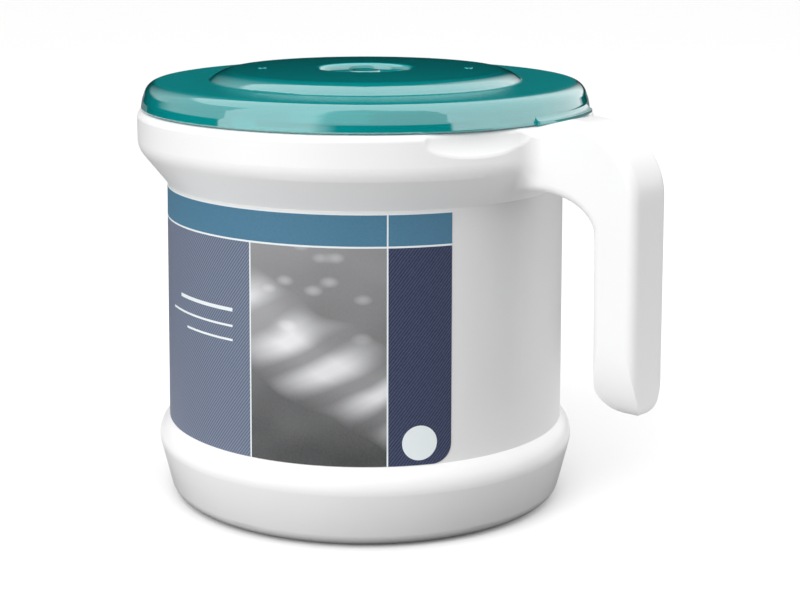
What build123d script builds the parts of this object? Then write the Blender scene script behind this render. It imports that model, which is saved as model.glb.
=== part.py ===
from build123d import *

import os
from math import asin, cos, degrees, radians, sin

# Centrefeed roll dispenser: a round bucket with a hooked carrying handle and a lift-off lid.
# Millimetres, +Z up. The origin is on the drum's axis, on the surface that it stands on.
# The handle points along +X, and every angle is measured from +X towards +Y.

os.makedirs("parts", exist_ok=True)

# Drum
drum_foot_radius = 103.3
drum_taper = 1.6
drum_length = 123.6
drum_wall = 2.4
spigot_length = 8.0
spigot_wall = 2.0
spigot_clearance = 0.15

# Base tray
base_height = 41.6
base_shoulder_reach = 7.0
base_shoulder_drop = 5.5
base_shoulder_rounding = 12.0
base_side_inset = 8.6
base_foot_rounding = 8.0
base_wall = 2.6
tray_shelf_overhang = 1.8
floor_thickness = 2.6
foot_ring_width = 10.1

# Grip ring under the tray
grip_ring_proud = 0.4
grip_ring_thickness = 2.4
grip_ring_width = 11.3
grip_ring_gap = 0.3

# Collar
cone_height = 18.3
cone_flare = 14.7
band_height = 18.7
band_foot_rounding = 10.7
band_top_rounding = 3.6
collar_wall = 2.4
cone_bore_drop = 1.0
band_bore_rise = 0.6
neck_wall = 2.4
neck_side_gap = 0.2
neck_top_gap = 1.8
snap_ring_height = 2.0
snap_ring_bevel = 0.6
snap_ring_drop = 1.6
snap_ring_gap = 0.39
edge_rounding = 0.8

# Finger scoop in the collar's top edge
scoop_root_overlap = 1.8
scoop_radius = 14.0
scoop_depth = 3.9
scoop_drop = 1.5
scoop_half_length = 31.0
scoop_end_rounding = 8.0
scoop_rim_rounding = 2.5

# Handle
handle_width = 27.0
handle_edge_rounding = 4.4
handle_projection = 60.2
handle_lean = 2.0
handle_top_rise = 5.2
handle_bend_length = 39.1
handle_bend_height = 34.5
handle_length = 136.4
grip_thickness = 23.4
grip_tip_inner_rounding = 15.0
grip_tip_outer_rounding = 6.0
grip_tip_height = 34.0
arch_drop = 30.1
arch_length = 29.9
arch_height = 17.4
handle_wall = 2.6
handle_root_block = 3.0
handle_root_blend = 9.0
cover_width = 15.0
cover_length = 56.0
cover_foot_margin = 24.0
cover_side_gap = 0.12

# Label
label_thickness = 0.25
label_angle = 185.0
label_right_edge_angle = -24.5
label_top_margin = 1.3
label_foot_margin = 0.3
label_corner_rounding = 9.5

# Lid
lid_seat_gap = 0.3
lid_wall = 1.8
skirt_foot_inset = 1.9
skirt_band_height = 4.5
skirt_band_lean = 0.8
skirt_band_rounding = 6.0
skirt_lean = 3.1
skirt_height = 13.5
lid_shoulder_rounding = 7.6
rim_width = 30.6
step_width = 6.5
step_height = 5.2
step_foot_rounding = 3.0
step_top_rounding = 16.0
dome_edge_width = 23.5
dome_middle_rise = 0.5
dome_rise = 0.8
dome_rounding = 150.0
well_foot_radius = 22.0
well_flare = 0.8
well_depth = 22.0
well_mouth_rounding = 3.2
well_foot_rounding = 2.0
lip_angle = 12.0
lip_spread = 31.0
lip_reach = 2.3
lip_edge_thickness = 1.9
lip_root_thickness = 2.6
lip_rounding = 0.6
lip_top_rounding = 0.3
lip_blend = 4.2
lip_end_rounding = 1.6
lip_clearance = 0.5
bead_count = 6
bead_gap_angle = 7.0
bead_gap_phase = -18.0
bead_clearance = 0.3
bead_level = 1.9
bead_height = 2.9
bead_bevel = 0.7
pip_orbit_radius = 52.7
pip_angle = 42.0
pip_radius = 2.1
pip_height = 0.3

# Nozzle
nozzle_hole_radius = 9.0
nozzle_running_gap = 0.1
nozzle_neck_length = 3.2
nozzle_flange_width = 2.9
nozzle_flange_thickness = 1.6
nozzle_foot_flare = 2.8
nozzle_foot_rounding = 1.5
nozzle_shoulder_level = 16.0
nozzle_shoulder_flare = 1.5
nozzle_waist_rounding = 8.0
nozzle_mouth_wall = 1.7
nozzle_top_rounding = 1.1
nozzle_height = 20.6
throat_radius = 4.6
throat_seat_width = 1.0
throat_seat_depth = 4.0
funnel_wall = 1.0
funnel_height = 8.0
clip_thickness = 1.4
clip_gap = 0.2
clip_overlap = 3.0
clip_groove_depth = 0.9
clip_mouth_angle = 70.0
throat_ring_height = 2.6
throat_ring_wall = 1.1
tooth_count = 8
tooth_width = 1.1
tooth_length = 1.05

# Levels that follow from the sizes
floor_level = grip_ring_thickness + floor_thickness
drum_top_level = base_height + drum_length
band_foot_level = drum_top_level + cone_height
band_top_level = band_foot_level + band_height
skirt_foot_level = band_top_level + lid_seat_gap
skirt_band_level = skirt_foot_level + skirt_band_height
rim_level = skirt_foot_level + skirt_height
lid_underside_level = rim_level - lid_wall
neck_top_level = lid_underside_level - neck_top_gap
snap_ring_top_level = neck_top_level - snap_ring_drop
dome_edge_level = rim_level + step_height
dome_top_level = dome_edge_level + dome_rise
well_floor_level = dome_top_level - well_depth
well_underside_level = well_floor_level - lid_wall
nozzle_foot_level = well_floor_level + nozzle_running_gap
nozzle_top_level = nozzle_foot_level + nozzle_height
handle_top_level = band_top_level + handle_top_rise
handle_foot_level = handle_top_level - handle_length
arch_level = band_top_level - arch_drop
cover_foot_level = handle_foot_level + cover_foot_margin
cover_top_level = cover_foot_level + cover_length

# Radii that follow from the sizes, from the drum outwards
drum_top_radius = drum_foot_radius - drum_taper
base_shoulder_radius = drum_foot_radius + base_shoulder_reach
base_foot_radius = base_shoulder_radius - base_side_inset
foot_ring_inner_radius = base_foot_radius - foot_ring_width
grip_ring_outer_radius = foot_ring_inner_radius - grip_ring_gap
band_radius = drum_top_radius + cone_flare
handle_reach = band_radius + handle_projection
skirt_foot_radius = band_radius - skirt_foot_inset
skirt_band_radius = skirt_foot_radius - skirt_band_lean
skirt_top_radius = skirt_band_radius - skirt_lean
step_foot_radius = skirt_top_radius - rim_width
step_top_radius = step_foot_radius - step_width
dome_middle_radius = step_top_radius - dome_edge_width
well_mouth_radius = well_foot_radius + well_flare
lip_radius = skirt_foot_radius + lip_reach
neck_radius = skirt_top_radius - lid_wall - neck_side_gap
neck_bore_radius = neck_radius - neck_wall


def skirt_radius(level):
    # The skirt's outer radius: a steep band at its foot, and a leaning part above it.
    height = level - skirt_foot_level
    if height < skirt_band_height:
        return skirt_foot_radius - skirt_band_lean * height / skirt_band_height
    share = (height - skirt_band_height) / (skirt_height - skirt_band_height)
    return skirt_band_radius - skirt_lean * share


snap_ring_radius = skirt_radius(snap_ring_top_level) - lid_wall - snap_ring_gap


def outline(corners):
    # Draws a closed outline from corners given as (x, y, rounding).
    points = [(x, y) for x, y, rounding in corners]
    FilletPolyline(*points, radius=[rounding for x, y, rounding in corners], close=True)


def upright_plane(angle):
    # A plane through the axis: its X runs outwards at this angle and its Y is up.
    turn = radians(angle)
    return Plane(origin=(0, 0, 0), x_dir=(cos(turn), sin(turn), 0), z_dir=(sin(turn), -cos(turn), 0))


def save(part, name):
    part.label = name
    export_step(part, f"parts/{name}.step")
    print(name, round(part.volume), "mm3")


# Base tray: floor, rounded skirt, shoulder and the spigot that holds the drum
base_spigot_radius = drum_foot_radius - drum_wall - spigot_clearance
base_shoulder_level = base_height - base_shoulder_drop
tray_shelf_level = base_height - base_wall
tray_shelf_radius = drum_foot_radius - tray_shelf_overhang

with BuildPart() as base_tray:
    with BuildSketch(Plane.XZ):
        with BuildLine():
            outline([
                (0, grip_ring_thickness, 0),
                (foot_ring_inner_radius, grip_ring_thickness, 0),
                (foot_ring_inner_radius, grip_ring_proud, 0),
                (base_foot_radius, grip_ring_proud, base_foot_rounding),
                (base_shoulder_radius, base_shoulder_level, base_shoulder_rounding),
                (drum_foot_radius, base_height, 0),
                (base_spigot_radius, base_height, 0),
                (base_spigot_radius, base_height + spigot_length, 0),
                (base_spigot_radius - spigot_wall, base_height + spigot_length, 0),
                (base_spigot_radius - spigot_wall, tray_shelf_level, 0),
                (tray_shelf_radius, tray_shelf_level, 0),
                (
                    base_shoulder_radius - base_wall,
                    base_shoulder_level - base_wall / 2,
                    base_shoulder_rounding - base_wall,
                ),
                (base_foot_radius - base_wall, floor_level, base_foot_rounding - base_wall),
                (0, floor_level, 0),
            ])
        make_face()
    revolve(axis=Axis.Z)
save(base_tray.part, "base_tray")

# Grip ring: soft ring bonded under the floor, a little proud of the tray
with BuildPart() as grip_ring:
    with BuildSketch():
        Circle(grip_ring_outer_radius)
        Circle(grip_ring_outer_radius - grip_ring_width, mode=Mode.SUBTRACT)
    extrude(amount=grip_ring_thickness)
save(grip_ring.part, "grip_ring")

# Drum wall: a tube that narrows slightly upwards
with BuildPart() as drum_wall_tube:
    with BuildSketch(Plane.XZ):
        with BuildLine():
            outline([
                (drum_foot_radius, base_height, 0),
                (drum_top_radius, drum_top_level, 0),
                (drum_top_radius - drum_wall, drum_top_level, 0),
                (drum_foot_radius - drum_wall, base_height, 0),
            ])
        make_face()
    revolve(axis=Axis.Z)
save(drum_wall_tube.part, "drum_wall")


def drum_radius(level):
    share = (level - base_height) / drum_length
    return drum_foot_radius + share * (drum_top_radius - drum_foot_radius)


# Label: printed film around the drum, with one rounded corner at its foot
label_foot_level = base_height + label_foot_margin
label_top_level = drum_top_level - label_top_margin
label_edge_cos = cos(radians(label_right_edge_angle))
label_edge_sin = sin(radians(label_right_edge_angle))
label_corner_plane = Plane(
    origin=(drum_foot_radius * label_edge_cos, drum_foot_radius * label_edge_sin, label_foot_level),
    x_dir=(label_edge_sin, -label_edge_cos, 0),
    z_dir=(-label_edge_cos, -label_edge_sin, 0),
)

with BuildPart() as drum_label:
    with BuildSketch(upright_plane(label_right_edge_angle - label_angle)):
        with BuildLine():
            outline([
                (drum_radius(label_foot_level), label_foot_level, 0),
                (drum_radius(label_foot_level) + label_thickness, label_foot_level, 0),
                (drum_radius(label_top_level) + label_thickness, label_top_level, 0),
                (drum_radius(label_top_level), label_top_level, 0),
            ])
        make_face()
    revolve(axis=Axis.Z, revolution_arc=label_angle)
    with BuildSketch(label_corner_plane):
        Rectangle(2 * label_corner_rounding, 2 * label_corner_rounding)
        with Locations((label_corner_rounding, label_corner_rounding)):
            Circle(label_corner_rounding, mode=Mode.SUBTRACT)
        with Locations((2 * label_corner_rounding, 0), (0, 2 * label_corner_rounding)):
            Rectangle(2 * label_corner_rounding, 2 * label_corner_rounding, mode=Mode.SUBTRACT)
    extrude(amount=2 * label_corner_rounding, both=True, mode=Mode.SUBTRACT)
save(drum_label.part, "drum_label")

collar_spigot_radius = drum_top_radius - drum_wall - spigot_clearance
collar_bore_radius = collar_spigot_radius - spigot_wall
collar_spigot_foot_level = drum_top_level - spigot_length
cone_inner_foot_level = drum_top_level - cone_bore_drop
band_inner_radius = band_radius - collar_wall
band_inner_foot_level = band_foot_level + band_bore_rise
shelf_underside_level = band_top_level - collar_wall
lid_clear_radius = lip_radius + lip_clearance
outer_bend_center = (handle_reach - handle_lean - handle_bend_length, handle_top_level - handle_bend_height)
inner_bend_center = (handle_reach - handle_lean - grip_thickness - arch_length, arch_level - arch_height)
grip_foot_inner = handle_reach - grip_thickness
handle_top_slope = handle_top_rise / (outer_bend_center[0] - band_radius)
scoop_center = (band_radius - scoop_depth + scoop_radius, band_top_level - scoop_drop)
scoop_offset = handle_width / 2 + scoop_half_length - scoop_root_overlap
scoop_plane = upright_plane(-degrees(asin(scoop_offset / band_radius)))


def hook_line(inset, root):
    # Draws the handle's side view, drawn in by inset, from x = root to the tip.
    outer_x, outer_z = outer_bend_center
    inner_x, inner_z = inner_bend_center
    outer_top = (outer_x, handle_top_level - inset)
    outer_side = (outer_x + handle_bend_length - inset, outer_z)
    inner_side = (inner_x + arch_length + inset, inner_z)
    inner_top = (inner_x, arch_level + inset)
    root_top = (root, handle_top_level - inset - handle_top_slope * (outer_x - root))
    EllipticalCenterArc(
        outer_bend_center,
        handle_bend_length - inset,
        handle_bend_height - inset,
        start_angle=0,
        arc_size=90,
    )
    FilletPolyline(
        outer_side,
        (handle_reach - inset, handle_foot_level + inset),
        (grip_foot_inner + inset, handle_foot_level + inset),
        inner_side,
        radius=[grip_tip_outer_rounding - inset, grip_tip_inner_rounding - inset],
    )
    EllipticalCenterArc(
        inner_bend_center,
        arch_length + inset,
        arch_height + inset,
        start_angle=0,
        arc_size=90,
    )
    Polyline(inner_top, (root, arch_level + inset), root_top, outer_top)


def hook_front(inset):
    # Draws the handle's front view, with its half-oval tip, drawn in by inset.
    half_width = handle_width / 2 - inset
    tip_top = handle_foot_level + grip_tip_height
    EllipticalCenterArc(
        (0, tip_top),
        half_width,
        grip_tip_height - inset,
        start_angle=180,
        arc_size=180,
    )
    Polyline(
        (half_width, tip_top),
        (half_width, dome_top_level),
        (-half_width, dome_top_level),
        (-half_width, tip_top),
    )


def grip_inner_face(level):
    # The x of the grip's inner face, which leans out a little towards the tip.
    inner_x, inner_z = inner_bend_center
    share = (inner_z - level) / (inner_z - handle_foot_level)
    return inner_x + arch_length + share * (grip_foot_inner - inner_x - arch_length)


def grip_slab(start, depth):
    # Draws a slab along the grip's inner face, over the cover's length.
    foot_x = grip_inner_face(cover_foot_level) + start
    top_x = grip_inner_face(cover_top_level) + start
    Polyline(
        (foot_x, cover_foot_level),
        (foot_x + depth, cover_foot_level),
        (top_x + depth, cover_top_level),
        (top_x, cover_top_level),
        close=True,
    )


# Handle blank: the side view with rounded long edges, cut to the front view
with BuildPart() as handle_blank:
    with BuildSketch(Plane.XZ):
        with BuildLine():
            hook_line(0, collar_bore_radius)
        make_face()
    extrude(amount=handle_width / 2, both=True)
    fillet(handle_blank.faces().filter_by(Axis.Y).edges(), handle_edge_rounding)
    with BuildSketch(Plane.YZ):
        with BuildLine():
            hook_front(0)
        make_face()
    extrude(amount=2 * handle_reach, mode=Mode.INTERSECT)

# Handle cavity: the same form, one wall further in
with BuildPart() as handle_cavity:
    with BuildSketch(Plane.XZ):
        with BuildLine():
            hook_line(handle_wall, band_radius + handle_root_block)
        make_face()
    extrude(amount=handle_width / 2 - handle_wall, both=True)
    with BuildSketch(Plane.YZ):
        with BuildLine():
            hook_front(handle_wall)
        make_face()
    extrude(amount=2 * handle_reach, mode=Mode.INTERSECT)

# Collar form: the outer shape of the drum's top, the cone and the band, filled in
with BuildPart() as collar_form:
    with BuildSketch(Plane.XZ):
        with BuildLine():
            outline([
                (0, drum_top_level, 0),
                (drum_top_radius, drum_top_level, 0),
                (band_radius, band_foot_level, band_foot_rounding),
                (band_radius, band_top_level, band_top_rounding),
                (0, band_top_level, 0),
            ])
        make_face()
    revolve(axis=Axis.Z)

# Finger scoop: a lying cylinder with rounded ends, across the collar's top edge
with BuildPart() as scoop:
    with BuildSketch(scoop_plane):
        with Locations(scoop_center):
            Circle(scoop_radius)
    extrude(amount=scoop_half_length, both=True)
    fillet(scoop.edges(), scoop_end_rounding)

# Collar hollow: what the collar goes round, less the wall behind the scoop
with BuildPart() as collar_hollow:
    with BuildSketch(Plane.XZ):
        with BuildLine():
            outline([
                (0, collar_spigot_foot_level, 0),
                (collar_bore_radius, collar_spigot_foot_level, 0),
                (collar_bore_radius, cone_inner_foot_level, 0),
                (band_inner_radius, band_inner_foot_level, band_foot_rounding - collar_wall),
                (band_inner_radius, shelf_underside_level, edge_rounding),
                (neck_bore_radius, shelf_underside_level, edge_rounding),
                (neck_bore_radius, neck_top_level, 0),
                (0, neck_top_level, 0),
            ])
        make_face()
    revolve(axis=Axis.Z)
    with BuildSketch(scoop_plane):
        with Locations(scoop_center):
            Circle(scoop_radius + collar_wall)
    extrude(amount=band_radius, both=True, mode=Mode.SUBTRACT)

# Upper body: the collar and the hooked handle are one moulding
with BuildPart() as upper_body:
    add(collar_form.part)
    add(handle_blank.part)
    root_edges = new_edges(collar_form.part, handle_blank.part, combined=upper_body.part)
    fillet(root_edges, handle_root_blend)
    plain_body = upper_body.part
    add(scoop.part, mode=Mode.SUBTRACT)
    scoop_rim = new_edges(plain_body, scoop.part, combined=upper_body.part)
    fillet(scoop_rim, scoop_rim_rounding)
    with BuildSketch(Plane.XY.offset(band_top_level)):
        Circle(lid_clear_radius)
    extrude(amount=band_height, mode=Mode.SUBTRACT)
    # The neck that the lid fits over, with its snap ring, and the spigot inside the drum
    with BuildSketch(Plane.XZ):
        with BuildLine():
            outline([
                (neck_bore_radius, shelf_underside_level, 0),
                (neck_radius, shelf_underside_level, 0),
                (neck_radius, snap_ring_top_level - snap_ring_height, 0),
                (snap_ring_radius, snap_ring_top_level - snap_ring_height + snap_ring_bevel, 0),
                (snap_ring_radius, snap_ring_top_level - snap_ring_bevel, 0),
                (neck_radius, snap_ring_top_level, 0),
                (neck_radius, neck_top_level, edge_rounding),
                (neck_bore_radius, neck_top_level, edge_rounding),
            ])
        make_face()
        with BuildLine():
            outline([
                (0, collar_spigot_foot_level, 0),
                (collar_spigot_radius, collar_spigot_foot_level, 0),
                (collar_spigot_radius, drum_top_level, 0),
                (0, drum_top_level, 0),
            ])
        make_face()
    revolve(axis=Axis.Z)
    add(collar_hollow.part, mode=Mode.SUBTRACT)
    add(handle_cavity.part, mode=Mode.SUBTRACT)
    # The window in the grip's inner face
    with BuildSketch(Plane.XZ):
        with BuildLine():
            grip_slab(-handle_wall, 3 * handle_wall)
        make_face()
    extrude(amount=cover_width / 2, both=True, mode=Mode.SUBTRACT)
save(upper_body.part, "upper_body")

# Handle cover: closes the window in the grip's inner face
with BuildPart() as handle_cover:
    with BuildSketch(Plane.XZ):
        with BuildLine():
            grip_slab(0, handle_wall)
        make_face()
    extrude(amount=cover_width / 2 - cover_side_gap, both=True)
save(handle_cover.part, "handle_cover")


# Lid: skirt, shoulder, flat ring, domed middle and the well that holds the nozzle
def dome_level(radius):
    share = (radius - dome_middle_radius) / (step_top_radius - dome_middle_radius)
    return dome_edge_level + (1 - share) * dome_middle_rise


bead_angle = 360 / bead_count - bead_gap_angle
bead_foot_level = skirt_foot_level + bead_level
bead_top_level = bead_foot_level + bead_height
bead_radius = snap_ring_radius + bead_clearance
dome_middle_level = dome_edge_level + dome_middle_rise

# The lift lip, where the lid meets the handle: its top curves up into the skirt
lip_root_level = skirt_foot_level + lip_root_thickness
lip_blend_top_level = lip_root_level + lip_blend

with BuildPart() as lid_lip:
    with BuildSketch(Plane.XZ):
        with BuildLine():
            outline([
                (skirt_foot_radius - lid_wall / 2, skirt_foot_level, 0),
                (lip_radius, skirt_foot_level, lip_rounding),
                (lip_radius, skirt_foot_level + lip_edge_thickness, lip_top_rounding),
                (skirt_radius(lip_root_level), lip_root_level, lip_blend),
                (skirt_radius(lip_blend_top_level), lip_blend_top_level, 0),
                (skirt_radius(lip_blend_top_level) - lid_wall / 2, lip_blend_top_level, 0),
            ])
        make_face()
    revolve(axis=Axis.Z)
    with BuildSketch(Plane.XY.offset(skirt_foot_level)) as lip_plan:
        with BuildLine(Plane.XY.offset(skirt_foot_level).rotated((0, 0, lip_angle))):
            lip_arc = CenterArc((0, 0), lip_radius, -lip_spread / 2, lip_spread)
            Polyline(lip_arc @ 0, (0, 0), lip_arc @ 1)
        make_face()
        fillet(lip_plan.vertices().sort_by_distance((0, 0, 0))[1:], lip_end_rounding)
    extrude(amount=skirt_height, mode=Mode.INTERSECT)

with BuildPart() as lid_shell:
    with BuildSketch(Plane.XZ):
        with BuildLine():
            outline([
                (nozzle_hole_radius, well_underside_level, 0),
                (nozzle_hole_radius, well_floor_level, 0),
                (well_foot_radius, well_floor_level, well_foot_rounding),
                (well_mouth_radius, dome_top_level, well_mouth_rounding),
                (dome_middle_radius, dome_middle_level, dome_rounding),
                (step_top_radius, dome_edge_level, step_top_rounding),
                (step_foot_radius, rim_level, step_foot_rounding),
                (skirt_top_radius, rim_level, lid_shoulder_rounding),
                (skirt_band_radius, skirt_band_level, skirt_band_rounding),
                (skirt_foot_radius, skirt_foot_level, edge_rounding),
                (skirt_foot_radius - lid_wall, skirt_foot_level, 0),
                (skirt_band_radius - lid_wall, skirt_band_level, skirt_band_rounding - lid_wall),
                (skirt_top_radius - lid_wall, lid_underside_level, lid_shoulder_rounding - lid_wall),
                (step_foot_radius - lid_wall / 2, lid_underside_level, step_foot_rounding + lid_wall),
                (step_top_radius - lid_wall / 2, dome_edge_level - lid_wall, step_top_rounding - lid_wall),
                (dome_middle_radius, dome_middle_level - lid_wall, dome_rounding),
                (well_mouth_radius + lid_wall, dome_top_level - lid_wall, edge_rounding),
                (well_foot_radius + lid_wall, well_underside_level, well_foot_rounding + lid_wall),
            ])
        make_face()
    revolve(axis=Axis.Z)
    add(lid_lip.part)
    # Snap beads on the inside of the skirt, with gaps between them
    for index in range(bead_count):
        bead_start = bead_gap_phase + bead_gap_angle / 2 + index * 360 / bead_count
        with BuildSketch(upright_plane(bead_start)):
            with BuildLine():
                Polyline(
                    (skirt_radius(bead_foot_level) - lid_wall / 2, bead_foot_level),
                    (bead_radius, bead_foot_level + bead_bevel),
                    (bead_radius, bead_top_level - bead_bevel),
                    (skirt_radius(bead_top_level) - lid_wall / 2, bead_top_level),
                    close=True,
                )
            make_face()
        revolve(axis=Axis.Z, revolution_arc=bead_angle)
    # Two small raised marks on the dome
    with BuildSketch(Plane.XY.offset(dome_level(pip_orbit_radius) - lid_wall / 2)):
        with PolarLocations(pip_orbit_radius, 2, start_angle=pip_angle):
            Circle(pip_radius)
    extrude(amount=lid_wall / 2 + pip_height)
save(lid_shell.part, "lid_shell")

# Nozzle: a hollow cone that turns in the hole of the lid's well
nozzle_neck_radius = nozzle_hole_radius - nozzle_running_gap
groove_radius = nozzle_neck_radius - clip_groove_depth
clip_top_level = well_underside_level - clip_gap
clip_foot_level = clip_top_level - clip_thickness
neck_foot_level = well_underside_level - nozzle_neck_length
flange_top_level = nozzle_foot_level + nozzle_flange_thickness
throat_seat_level = nozzle_top_level - throat_seat_depth
throat_seat_radius = throat_radius + throat_seat_width
nozzle_top_radius = throat_seat_radius + nozzle_mouth_wall
nozzle_shoulder_radius = nozzle_top_radius + nozzle_shoulder_flare
nozzle_foot_radius = nozzle_shoulder_radius + nozzle_foot_flare
nozzle_flange_radius = nozzle_foot_radius + nozzle_flange_width

with BuildPart() as nozzle_cone:
    with BuildSketch(Plane.XZ):
        with BuildLine():
            outline([
                (groove_radius - funnel_wall, neck_foot_level, 0),
                (nozzle_neck_radius, neck_foot_level, 0),
                (nozzle_neck_radius, clip_foot_level, 0),
                (groove_radius, clip_foot_level, 0),
                (groove_radius, clip_top_level, 0),
                (nozzle_neck_radius, clip_top_level, 0),
                (nozzle_neck_radius, nozzle_foot_level, 0),
                (nozzle_flange_radius, nozzle_foot_level, 0),
                (nozzle_flange_radius, flange_top_level, edge_rounding),
                (nozzle_foot_radius, flange_top_level, nozzle_foot_rounding),
                (
                    nozzle_shoulder_radius,
                    nozzle_foot_level + nozzle_shoulder_level,
                    nozzle_waist_rounding,
                ),
                (nozzle_top_radius, nozzle_top_level, nozzle_top_rounding),
                (throat_seat_radius, nozzle_top_level, 0),
                (throat_seat_radius, throat_seat_level, 0),
                (throat_radius, throat_seat_level, 0),
                (throat_radius, neck_foot_level + funnel_height, nozzle_waist_rounding),
            ])
        make_face()
    revolve(axis=Axis.Z)
save(nozzle_cone.part, "nozzle_cone")

# Nozzle clip: a split ring in the neck's groove, under the well's floor
clip_radius = nozzle_hole_radius + clip_overlap

with BuildPart() as nozzle_clip:
    with BuildSketch(Plane.XY.offset(clip_foot_level)):
        Circle(clip_radius)
        Circle(groove_radius, mode=Mode.SUBTRACT)
        with BuildLine():
            half_mouth = radians(clip_mouth_angle / 2)
            mouth_reach = 2 * clip_radius
            Polyline(
                (0, 0),
                (-mouth_reach * cos(half_mouth), mouth_reach * sin(half_mouth)),
                (-mouth_reach * cos(half_mouth), -mouth_reach * sin(half_mouth)),
                close=True,
            )
        make_face(mode=Mode.SUBTRACT)
    extrude(amount=clip_thickness)
save(nozzle_clip.part, "nozzle_clip")

# Throat ring: soft toothed ring that holds the paper's tail, pressed into the nozzle's mouth
throat_ring_bore_radius = throat_seat_radius - throat_ring_wall
tooth_tip_radius = throat_ring_bore_radius - tooth_length
tooth_root_radius = throat_ring_bore_radius + throat_ring_wall / 2
tooth_middle_radius = (tooth_tip_radius + tooth_root_radius) / 2

with BuildPart() as throat_ring:
    with BuildSketch(Plane.XY.offset(throat_seat_level)):
        Circle(throat_seat_radius)
        Circle(throat_ring_bore_radius, mode=Mode.SUBTRACT)
        with PolarLocations(tooth_middle_radius, tooth_count):
            Rectangle(tooth_root_radius - tooth_tip_radius, tooth_width)
    extrude(amount=throat_ring_height)
save(throat_ring.part, "throat_ring")
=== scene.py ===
import math

import bpy
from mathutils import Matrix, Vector

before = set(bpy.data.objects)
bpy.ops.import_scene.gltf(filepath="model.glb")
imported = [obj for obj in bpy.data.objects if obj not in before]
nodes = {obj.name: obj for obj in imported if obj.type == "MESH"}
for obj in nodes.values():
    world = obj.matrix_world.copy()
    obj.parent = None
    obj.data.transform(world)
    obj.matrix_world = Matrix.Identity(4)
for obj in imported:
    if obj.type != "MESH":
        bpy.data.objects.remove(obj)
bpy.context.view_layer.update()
scene = bpy.context.scene

# Metres, Z up, the drum's axis at the origin and the handle towards +X.
# Camera angles are in degrees, from the camera's own side of the drum to its right.

camera = {
    "distance": 0.9138,  # from the drum's axis, along the floor
    "height": 0.3094,
    "pitchDown": 12.91,
    "handleTurn": 42.0,  # how far round the camera stands from -Y, towards the handle
    "lens": 80.17,
    "sensor": 36.0,
    "shiftX": 0.0434,
}
toDegrees = 180 / math.pi


def cameraSide(angle, distance, height):
    turn = math.radians(angle + camera["handleTurn"])
    return Vector((distance * math.sin(turn), -distance * math.cos(turn), height))


def makeCamera():
    data = bpy.data.cameras.new("photoCamera")
    data.lens = camera["lens"]
    data.sensor_width = camera["sensor"]
    data.shift_x = camera["shiftX"]
    eye = bpy.data.objects.new("photoCamera", data)
    eye.location = cameraSide(0, camera["distance"], camera["height"])
    turn = math.radians(camera["handleTurn"])
    eye.rotation_euler = (math.radians(90 - camera["pitchDown"]), 0, turn)
    scene.collection.objects.link(eye)
    scene.camera = eye
    print("camera placed")


# One output socket of a node; Python's operators on it add Math nodes
class Wire:
    def __init__(self, owner, socket):
        self.owner = owner
        self.socket = socket

    def maths(self, operation, *terms):
        return self.owner.add("ShaderNodeMath", {"operation": operation}, dict(enumerate(terms)))

    def __add__(self, other):
        return self.maths("ADD", self, other)

    def __sub__(self, other):
        return self.maths("SUBTRACT", self, other)

    def __rsub__(self, other):
        return self.maths("SUBTRACT", other, self)

    def __mul__(self, other):
        return self.maths("MULTIPLY", self, other)

    def __truediv__(self, other):
        return self.maths("DIVIDE", self, other)

    def __mod__(self, other):
        return self.maths("FLOORED_MODULO", self, other)

    def __pow__(self, other):
        return self.maths("POWER", self, other)

    def __abs__(self):
        return self.maths("ABSOLUTE", self)

    def __gt__(self, other):
        return self.maths("GREATER_THAN", self, other)

    def __lt__(self, other):
        return self.maths("LESS_THAN", self, other)

    def __rtruediv__(self, other):
        return self.maths("DIVIDE", other, self)

    def __rmod__(self, other):
        return self.maths("FLOORED_MODULO", other, self)

    def __rpow__(self, other):
        return self.maths("POWER", other, self)

    __radd__ = __add__
    __rmul__ = __mul__

    def most(self, other):
        return self.maths("MAXIMUM", self, other)

    # the angle whose tangent is this wire over the other, in degrees
    def turn(self, other):
        return self.maths("ARCTAN2", self, other) * toDegrees


class Nodes:
    def __init__(self, dataBlock):
        dataBlock.use_nodes = True
        self.tree = dataBlock.node_tree
        self.place = self.add("ShaderNodeTexCoord", out="Object")

    # makes one node: its settings first, then the values or wires of its sockets
    def add(self, kind, settings=None, values=None, out=0):
        node = self.tree.nodes.new(kind)
        for key, value in (settings or {}).items():
            setattr(node, key, value)
        for key, value in (values or {}).items():
            self.feed(node.inputs[key], value)
        return Wire(self, node.outputs[out])

    def feed(self, socket, value):
        if isinstance(value, Wire):
            self.tree.links.new(value.socket, socket)
        else:
            socket.default_value = value

    def axes(self):
        split = self.add("ShaderNodeSeparateXYZ", None, {0: self.place}).socket.node
        return [Wire(self, output) for output in split.outputs]

    def noise(self, scale, detail, place=None, roughness=0.5):
        values = {"Vector": place or self.place, "Scale": scale, "Detail": detail,
                  "Roughness": roughness}
        return self.add("ShaderNodeTexNoise", None, values)

    # inputs 6 and 7 of a Mix node are its two colours, and output 2 is their mix
    def mixColor(self, factor, first, second):
        first, second = [c if isinstance(c, Wire) else (*c, 1) for c in (first, second)]
        return self.add("ShaderNodeMix", {"data_type": "RGBA"}, {0: factor, 6: first, 7: second}, 2)

    def spread(self, wire, low, high, toLow=0.0, toHigh=1.0):
        values = {0: wire, 1: low, 2: high, 3: toLow, 4: toHigh}
        return self.add("ShaderNodeMapRange", None, values)

    def bump(self, height, strength, depth):
        values = {"Height": height, "Strength": strength, "Distance": depth}
        return self.add("ShaderNodeBump", None, values, "Normal")


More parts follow.
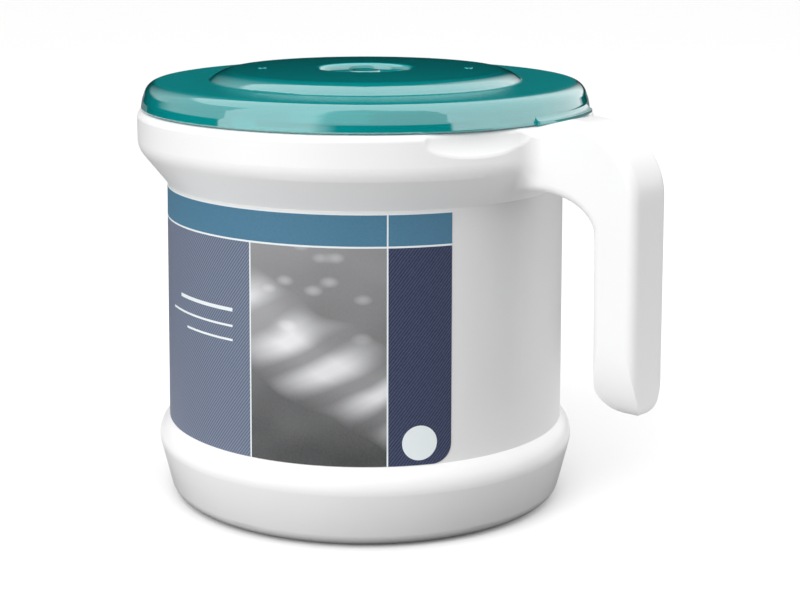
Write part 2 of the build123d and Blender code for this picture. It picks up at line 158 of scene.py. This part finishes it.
class Finish(Nodes):
    def __init__(self, name, **uniform):
        self.material = bpy.data.materials.new(name)
        super().__init__(self.material)
        self.shader = self.tree.nodes["Principled BSDF"]
        self.drive(**uniform)

    def drive(self, **sockets):
        for socketName, value in sockets.items():
            self.feed(self.shader.inputs[socketName.replace("_", " ")], value)

    def wear(self, *names):
        for name in names:
            slots = nodes[name].data.materials
            slots.clear()
            slots.append(self.material)


# White moulded plastic: a fine spark-eroded grain and a slow cloudiness
whitePlastic = {
    "light": (0.86, 0.86, 0.862),
    "cloud": (0.82, 0.821, 0.825),
    # the drum's tube: the same white made darker all over
    "tubeLight": (0.755, 0.755, 0.757),
    "tubeCloud": (0.72, 0.721, 0.726),
    "cloudScale": 9.0,
    "cloudEdge": (0.35, 0.65),
    "cloudShare": 0.6,
    "grainScale": 1600.0,
    "grainStrength": 0.35,
    "grainDepth": 0.00004,
    "grainShare": 0.5,
    "gloss": 0.28,
    "dull": 0.38,
    "dullAt": 1.6,  # cloud, grain and scuff together, where the plastic is dullest
    "scuffTop": 0.006,
    "scuffScale": 240.0,
    "scuffEdge": (0.5, 0.7),
    "scuffColor": (0.55, 0.55, 0.56),
    "scuffShare": 0.35,
    "specular": 0.5,
    "ior": 1.5,
}


def makeWhitePlastic(name, light, cloudy, wearers):
    p = whitePlastic
    white = Finish(name, Specular_IOR_Level=p["specular"], IOR=p["ior"])
    cloud = white.spread(white.noise(p["cloudScale"], detail=3), *p["cloudEdge"])
    grain = white.noise(p["grainScale"], detail=3)
    streaks = white.noise(p["scuffScale"], detail=4, roughness=0.7)
    height = white.axes()[2]
    # the bottom edge is scuffed where it slides on a worktop
    scuff = white.spread(height, 0, p["scuffTop"], 1, 0) * white.spread(streaks, *p["scuffEdge"])
    color = white.mixColor(cloud * p["cloudShare"], p[light], p[cloudy])
    worn = cloud + grain * p["grainShare"] + scuff
    white.drive(
        Base_Color=white.mixColor(scuff * p["scuffShare"], color, p["scuffColor"]),
        Roughness=white.spread(worn, 0, p["dullAt"], p["gloss"], p["dull"]),
        Normal=white.bump(grain, p["grainStrength"], p["grainDepth"]),
    )
    white.wear(*wearers)
    print(name, "made")


# The made-up greyscale picture on the film: blurred lights over soft folds.
# Its places are shares of its width and height, and its shades run from 0 to 1.
picture = {
    "foot": 0.042,  # metres above the floor
    "stretch": 2.7,
    "driftScale": 1.6,
    "foldScale": 0.9,
    "foldDistortion": 5.5,
    "foldDetail": 1.5,
    "foldDetailScale": 0.8,
    "foldPhase": 1.1,
    "foldEdge": (0.1, 0.95),
    "foldShade": (0.12, 0.58),
    "ridgeFoot": 0.24,
    "ridgeSlope": 0.34,
    "ridgeDrift": 0.16,
    "ridgeEdge": (0.05, 0.24),
    "lightScale": 3.6,
    "lightBlur": 0.35,
    "lightScatter": 0.85,
    "lightEdge": (0.12, 0.3),
    "lightFoot": (0.5, 0.72),
    "lightShade": 0.2,
    "backShade": (0.045, 0.26),
    "backDrift": 0.1,
    "grainScale": 90.0,
    "grainShade": 0.02,
    "shadeBefore": (0.02, 0.9),
    "shadeAfter": (0.02, 0.84),
    "blueShare": 1.02,
}


def drawPicture(ink, across, up):
    p = picture
    flat = ink.add("ShaderNodeCombineXYZ", None, {0: across, 1: up * p["stretch"]})
    drift = ink.noise(p["driftScale"], detail=1, place=flat)
    folds = ink.add("ShaderNodeTexWave", {"bands_direction": "DIAGONAL"}, {
        "Vector": flat, "Scale": p["foldScale"], "Distortion": p["foldDistortion"],
        "Detail": p["foldDetail"], "Detail Scale": p["foldDetailScale"],
        "Phase Offset": p["foldPhase"]})
    blobs = ink.add("ShaderNodeTexVoronoi", {"feature": "SMOOTH_F1"}, {
        "Vector": flat, "Scale": p["lightScale"], "Smoothness": p["lightBlur"],
        "Randomness": p["lightScatter"]})
    ridge = abs(up - across * p["ridgeSlope"] - p["ridgeFoot"] - drift * p["ridgeDrift"])
    ridge = ink.spread(ridge, *p["ridgeEdge"], 1, 0)
    lights = ink.spread(blobs, *p["lightEdge"], 1, 0) * ink.spread(up, *p["lightFoot"])
    shade = ink.spread(up, 0, 1, *p["backShade"]) + drift * p["backDrift"] - p["backDrift"] / 2
    shade = shade + ridge * ink.spread(folds, *p["foldEdge"], *p["foldShade"])
    shade = shade + lights * p["lightShade"]
    shade = shade + ink.noise(p["grainScale"], detail=1, place=flat) * p["grainShade"]
    shade = ink.spread(shade, *p["shadeBefore"], *p["shadeAfter"])
    return ink.add("ShaderNodeCombineColor", None, {0: shade, 1: shade, 2: shade * p["blueShare"]})


# The printed film: angles in degrees to the left of its right edge, heights in metres
labelPrint = {
    "rightEdge": -24.5,  # from the handle, anticlockwise as seen from above
    "rightLine": 17.65,
    "leftLine": 55.85,
    "lineHalfWidth": 0.21,
    "bandFoot": 0.1482,
    "bandFootHalfWidth": 0.00045,
    "bandTop": 0.1634,
    "bandColor": (0.055, 0.17, 0.27),
    "rightColor": (0.043, 0.055, 0.118),
    "rightStripe": (0.01, 0.017, 0.055),
    "leftColor": (0.178, 0.21, 0.288),
    "leftStripe": (0.085, 0.108, 0.168),
    "white": (0.74, 0.79, 0.80),
    "stripePitch": 0.0016,
    "stripeSlope": 52.0,
    "stripeEdge": (0.17, 0.33),
    "drumRadius": 0.1028,
    "discAngle": 8.93,
    "discHeight": 0.05285,
    "discRadius": 0.0086,
    "ruleLeft": 62.0,
    # each rule's height, its length in degrees and half its thickness
    "rules": ((0.1135, 25.0, 0.0009), (0.1055, 31.0, 0.00055), (0.0985, 21.0, 0.00055)),
    "mottleScale": 900.0,
    "mottleShare": 0.05,
    "mottleEdge": (0.3, 0.7),
    "rough": (0.45, 0.55),
    "bumpStrength": 0.2,
    "bumpDepth": 0.00002,
    "specular": 0.2,
}


def makeLabelPrint():
    p = labelPrint
    ink = Finish("labelPrint", Specular_IOR_Level=p["specular"])
    x, y, z = ink.axes()
    left = (p["rightEdge"] - y.turn(x)) % 360
    metresPerDegree = p["drumRadius"] * math.pi / 180
    along = left * metresPerDegree

    # pinstripes climb to the right over both side panels
    slope = math.radians(p["stripeSlope"])
    pitch = p["stripePitch"] * math.sin(slope)
    stripe = ((along * math.sin(slope) + z * math.cos(slope)) % pitch) / pitch
    stripe = ink.spread(abs(stripe - 0.5), *p["stripeEdge"])
    rightPanel = ink.mixColor(stripe, p["rightStripe"], p["rightColor"])
    leftPanel = ink.mixColor(stripe, p["leftStripe"], p["leftColor"])

    # the picture stands between the panels, and the band runs over all three
    across = (left - p["rightLine"]) / (p["leftLine"] - p["rightLine"])
    up = (z - picture["foot"]) / (p["bandFoot"] - picture["foot"])
    inPicture = (left > p["rightLine"]) * (left < p["leftLine"])
    panels = ink.mixColor(left > p["leftLine"], rightPanel, leftPanel)
    color = ink.mixColor(inPicture, panels, drawPicture(ink, across, up))
    inBand = z > p["bandFoot"]
    color = ink.mixColor(inBand, color, p["bandColor"])

    # white lines, the plain disc and three plain rules
    rightLine = abs(left - p["rightLine"]) < p["lineHalfWidth"]
    leftLine = (abs(left - p["leftLine"]) < p["lineHalfWidth"]) * (1 - inBand)
    bandLine = abs(z - p["bandFoot"]) < p["bandFootHalfWidth"]
    sideways = along - p["discAngle"] * metresPerDegree
    disc = (sideways ** 2 + (z - p["discHeight"]) ** 2) < p["discRadius"] ** 2
    white = rightLine.most(leftLine).most(bandLine).most(z > p["bandTop"]).most(disc)
    for height, length, halfThickness in p["rules"]:
        rule = (abs(z - height) < halfThickness) * (left > p["ruleLeft"])
        white = white.most(rule * (left < p["ruleLeft"] + length))
    color = ink.mixColor(white, color, p["white"])
    mottle = ink.noise(p["mottleScale"], detail=2)
    ink.drive(
        Base_Color=ink.mixColor(mottle * p["mottleShare"], color, p["white"]),
        Roughness=ink.spread(mottle, *p["mottleEdge"], *p["rough"]),
        Normal=ink.bump(mottle, p["bumpStrength"], p["bumpDepth"]),
    )
    ink.wear("drum_label")
    print("label printed")


# Clear teal plastic; light goes through both faces of a wall.
# The rim's flat top is painted darker as painted shade, and all from the dome's flat top up is
# painted lighter as painted light.
tealPlastic = {
    "side": (0.003, 0.47, 0.48),
    "dome": (0.004, 0.66, 0.67),
    "shadedRim": (0.003, 0.43, 0.439),
    "domeFlat": 0.2208,
    "rimFlat": 0.2160,
    "rimEdge": 0.0001,
    "flatFade": 0.0006,
    "domeCoatLoss": 0.2,
    "rimCoatLoss": 0.92,
    "rimDullness": 0.2,
    "seeThrough": 0.5,
    "ior": 1.49,
    "coatIor": 2.4,
    "coatRough": 0.02,
    "rough": (0.03, 0.06),
    "hazeScale": 420.0,
    "hazeEdge": (0.3, 0.7),
    "flowScale": 14.0,
    "flowShade": 0.1,
    "flowStrength": 0.15,
    "flowDepth": 0.0006,
}


def makeTealPlastic():
    p = tealPlastic
    teal = Finish("tealPlastic", Transmission_Weight=p["seeThrough"], IOR=p["ior"],
                  Coat_IOR=p["coatIor"], Coat_Roughness=p["coatRough"])
    flow = teal.noise(p["flowScale"], detail=2)
    haze = teal.noise(p["hazeScale"], detail=3)
    height = teal.axes()[2]
    # the flat tops are a little duller than the sides; the rim's top also carries painted shade and
    # the dome's top painted light
    shadedRim = teal.spread(abs(height - p["rimFlat"]), p["rimEdge"], p["flatFade"], 1, 0)
    dome = teal.spread(height, p["domeFlat"], p["domeFlat"] + p["flatFade"])
    color = teal.mixColor(dome - flow * p["flowShade"], p["side"], p["dome"])
    teal.drive(
        Base_Color=teal.mixColor(shadedRim, color, p["shadedRim"]),
        Coat_Weight=1 - shadedRim * p["rimCoatLoss"] - dome * p["domeCoatLoss"],
        Roughness=teal.spread(haze, *p["hazeEdge"], *p["rough"]) + shadedRim * p["rimDullness"],
        Normal=teal.bump(flow, p["flowStrength"], p["flowDepth"]),
    )
    teal.wear("lid_shell", "nozzle_cone")
    print("teal plastic made")


# Three small rings that hardly show, each with its colour and its roughness
smallRings = {
    "throat_ring": ((0.05, 0.30, 0.31), 0.5),
    "nozzle_clip": ((0.78, 0.79, 0.80), 0.42),
    "grip_ring": ((0.22, 0.225, 0.235), 0.62),
}
ringFinish = {
    "cloudScale": 30.0,
    "cloudDarkness": 0.86,
    "grainScale": 1300.0,
    "grainEdge": (0.3, 0.7),
    "grainStrength": 0.4,
    "grainDepth": 0.00005,
    "roughSwing": 0.05,
    "specular": 0.4,
}


def makeSmallRings():
    p = ringFinish
    for name, (color, rough) in smallRings.items():
        ring = Finish(name + "Finish", Specular_IOR_Level=p["specular"])
        cloud = ring.noise(p["cloudScale"], detail=3)
        grain = ring.noise(p["grainScale"], detail=3)
        darker = tuple(c * p["cloudDarkness"] for c in color)
        swing = (rough - p["roughSwing"], rough + p["roughSwing"])
        ring.drive(
            Base_Color=ring.mixColor(cloud, color, darker),
            Roughness=ring.spread(grain, *p["grainEdge"], *swing),
            Normal=ring.bump(grain, p["grainStrength"], p["grainDepth"]),
        )
        ring.wear(name)
    print("small rings made")


# The studio: a bright ceiling that comes down behind the object, dimmer walls below it,
# a dark gap at eye level and three softboxes. All angles are in degrees. A foot of the
# ceiling or walls is two angles from the camera and how high it is at each, and the
# ceiling's two feet add up. A softbox is its brightness and the camera angles where it
# fades in and out.
studio = {
    "ceiling": 1.25,
    "ceilingFoot": ((0, 105, 69, 33), (145, 180, 0, 20)),
    "ceilingFade": 6.0,
    "walls": 0.6,
    "wallFoot": (0, 150, 15, 6),
    "wallFade": 4.0,
    "wallEnd": (135, 168),
    "gap": 0.003,  # how bright the gap still is
    "softboxes": (
        (1.3, (-79.2, -77.7), (-28.0, -14.0)),
        (1.3, (42.6, 44.6), (150.0, 168.0)),
        (1.2, (112.0, 126.0), (156.0, 170.0)),
    ),
    "softboxFade": (2.0, 4.0),  # how high all three fade in
    "backdrop": 1.0,  # what the camera itself sees
}


def makeStudio():
    p = studio
    world = bpy.data.worlds.new("studio")
    scene.world = world
    room = Nodes(world)
    x, y, z = room.axes()
    angle = (x.turn(0 - y) - camera["handleTurn"] + 180) % 360 - 180
    rise = z.maths("ARCSINE", z) * toDegrees
    turned = abs(angle)
    front, back = [room.spread(turned, *foot) for foot in p["ceilingFoot"]]
    ceiling = room.spread(rise - front - back, 0, p["ceilingFade"], 0, p["ceiling"])
    walls = room.spread(rise - room.spread(turned, *p["wallFoot"]), 0, p["wallFade"])
    walls = walls * room.spread(turned, *p["wallEnd"], p["walls"], 0)
    light = ceiling.most(walls + p["gap"])
    foot = room.spread(rise, *p["softboxFade"])
    for brightness, start, end in p["softboxes"]:
        box = room.spread(angle, *start) * room.spread(angle, *end, 1, 0) * foot
        light = light.most(box * brightness)
    seen = room.add("ShaderNodeLightPath", out="Is Camera Ray")
    light = light * (1 - seen) + seen * p["backdrop"]
    background = room.tree.nodes["Background"].inputs
    room.feed(background["Strength"], light)
    room.feed(background["Color"], (1, 1, 1, 1))
    print("studio made")


# Lights that only fill the shade and aren't mirrored: camera angle, distance, height, size, power
fills = {
    "leftFill": (-45.0, 1.6, 0.35, 1.2, 13.4),
    "nearFill": (-20.0, 0.75, 0.85, 0.6, 2.8),
    "rightFill": (75.0, 1.4, 0.35, 0.8, 1.7),
    "topFill": (10.0, 0.3, 1.9, 1.6, 3.0),
}
fillAim = (0, 0, 0.1)


def makeFills():
    for name, (angle, distance, height, size, power) in fills.items():
        data = bpy.data.lights.new(name, "AREA")
        data.size = size
        data.energy = power
        lamp = bpy.data.objects.new(name, data)
        lamp.location = cameraSide(angle, distance, height)
        aim = Vector(fillAim) - lamp.location
        lamp.rotation_euler = aim.to_track_quat("-Z", "Y").to_euler()
        lamp.visible_camera = False
        lamp.visible_glossy = False
        scene.collection.objects.link(lamp)
    print("fill lights placed")


# One disc is seen, and one just under it gives the light back to the object.
# Its colour is painted shade and light: little close to the foot, most a hand's width out, and less
# again further away
floor = {
    "radius": 6.0,
    "corners": 96,
    "color": (0.9, 0.9, 0.9),
    "rough": 0.9,
    "glow": 0.07,
    "speckColor": (0.8, 0.8, 0.8),
    "speckScale": 60.0,
    "speckShare": 0.02,
    "bounceDrop": 0.002,
    "bounceNear": (0.06, 0.06, 0.06),
    "bounceMiddle": (0.96, 0.96, 0.96),
    "bounceFar": (0.24, 0.24, 0.24),
    "bounceReach": (0.12, 0.19),
    "bounceEnd": (0.24, 0.4),
    "bounceRight": -0.06,  # below 0 the bounce grows later on the camera's right
}


# painted shade near the foot and painted light further out, carried by the hidden disc's colour
def bounceColor(pale):
    x, y = pale.axes()[:2]
    turn = math.radians(camera["handleTurn"])
    right = x * math.cos(turn) + y * math.sin(turn)
    away = (x * x + y * y) ** 0.5 + right * floor["bounceRight"]
    grown = pale.spread(away, *floor["bounceReach"])
    ended = pale.spread(away, *floor["bounceEnd"])
    color = pale.mixColor(grown, floor["bounceNear"], floor["bounceMiddle"])
    return pale.mixColor(ended, color, floor["bounceFar"])


def makeFloor():
    for name, level in (("paleFloor", 0.0), ("floorBounce", -floor["bounceDrop"])):
        bpy.ops.object.select_all(action="DESELECT")
        bpy.ops.mesh.primitive_circle_add(
            vertices=floor["corners"], radius=floor["radius"], fill_type="NGON",
            location=(0, 0, level))
        bpy.ops.object.transform_apply()
        disc = bpy.context.object
        disc.name = name
        pale = Finish(name, Roughness=floor["rough"], Specular_IOR_Level=0.0)
        speck = pale.noise(floor["speckScale"], detail=2) * floor["speckShare"]
        seen = name == "paleFloor"
        color = floor["color"] if seen else bounceColor(pale)
        pale.drive(Base_Color=pale.mixColor(speck, color, floor["speckColor"]))
        if seen:
            pale.drive(Emission_Color=(1, 1, 1, 1), Emission_Strength=floor["glow"])
        disc.data.materials.append(pale.material)
        disc.visible_camera = seen
        disc.visible_diffuse = disc.visible_glossy = disc.visible_transmission = not seen
    print("floor laid")


makeCamera()
makeWhitePlastic("whitePlastic", "light", "cloud", ("base_tray", "upper_body", "handle_cover"))
makeWhitePlastic("tubePlastic", "tubeLight", "tubeCloud", ("drum_wall",))
makeLabelPrint()
makeTealPlastic()
makeSmallRings()
makeStudio()
makeFills()
makeFloor()
scene.view_settings.view_transform = "Standard"
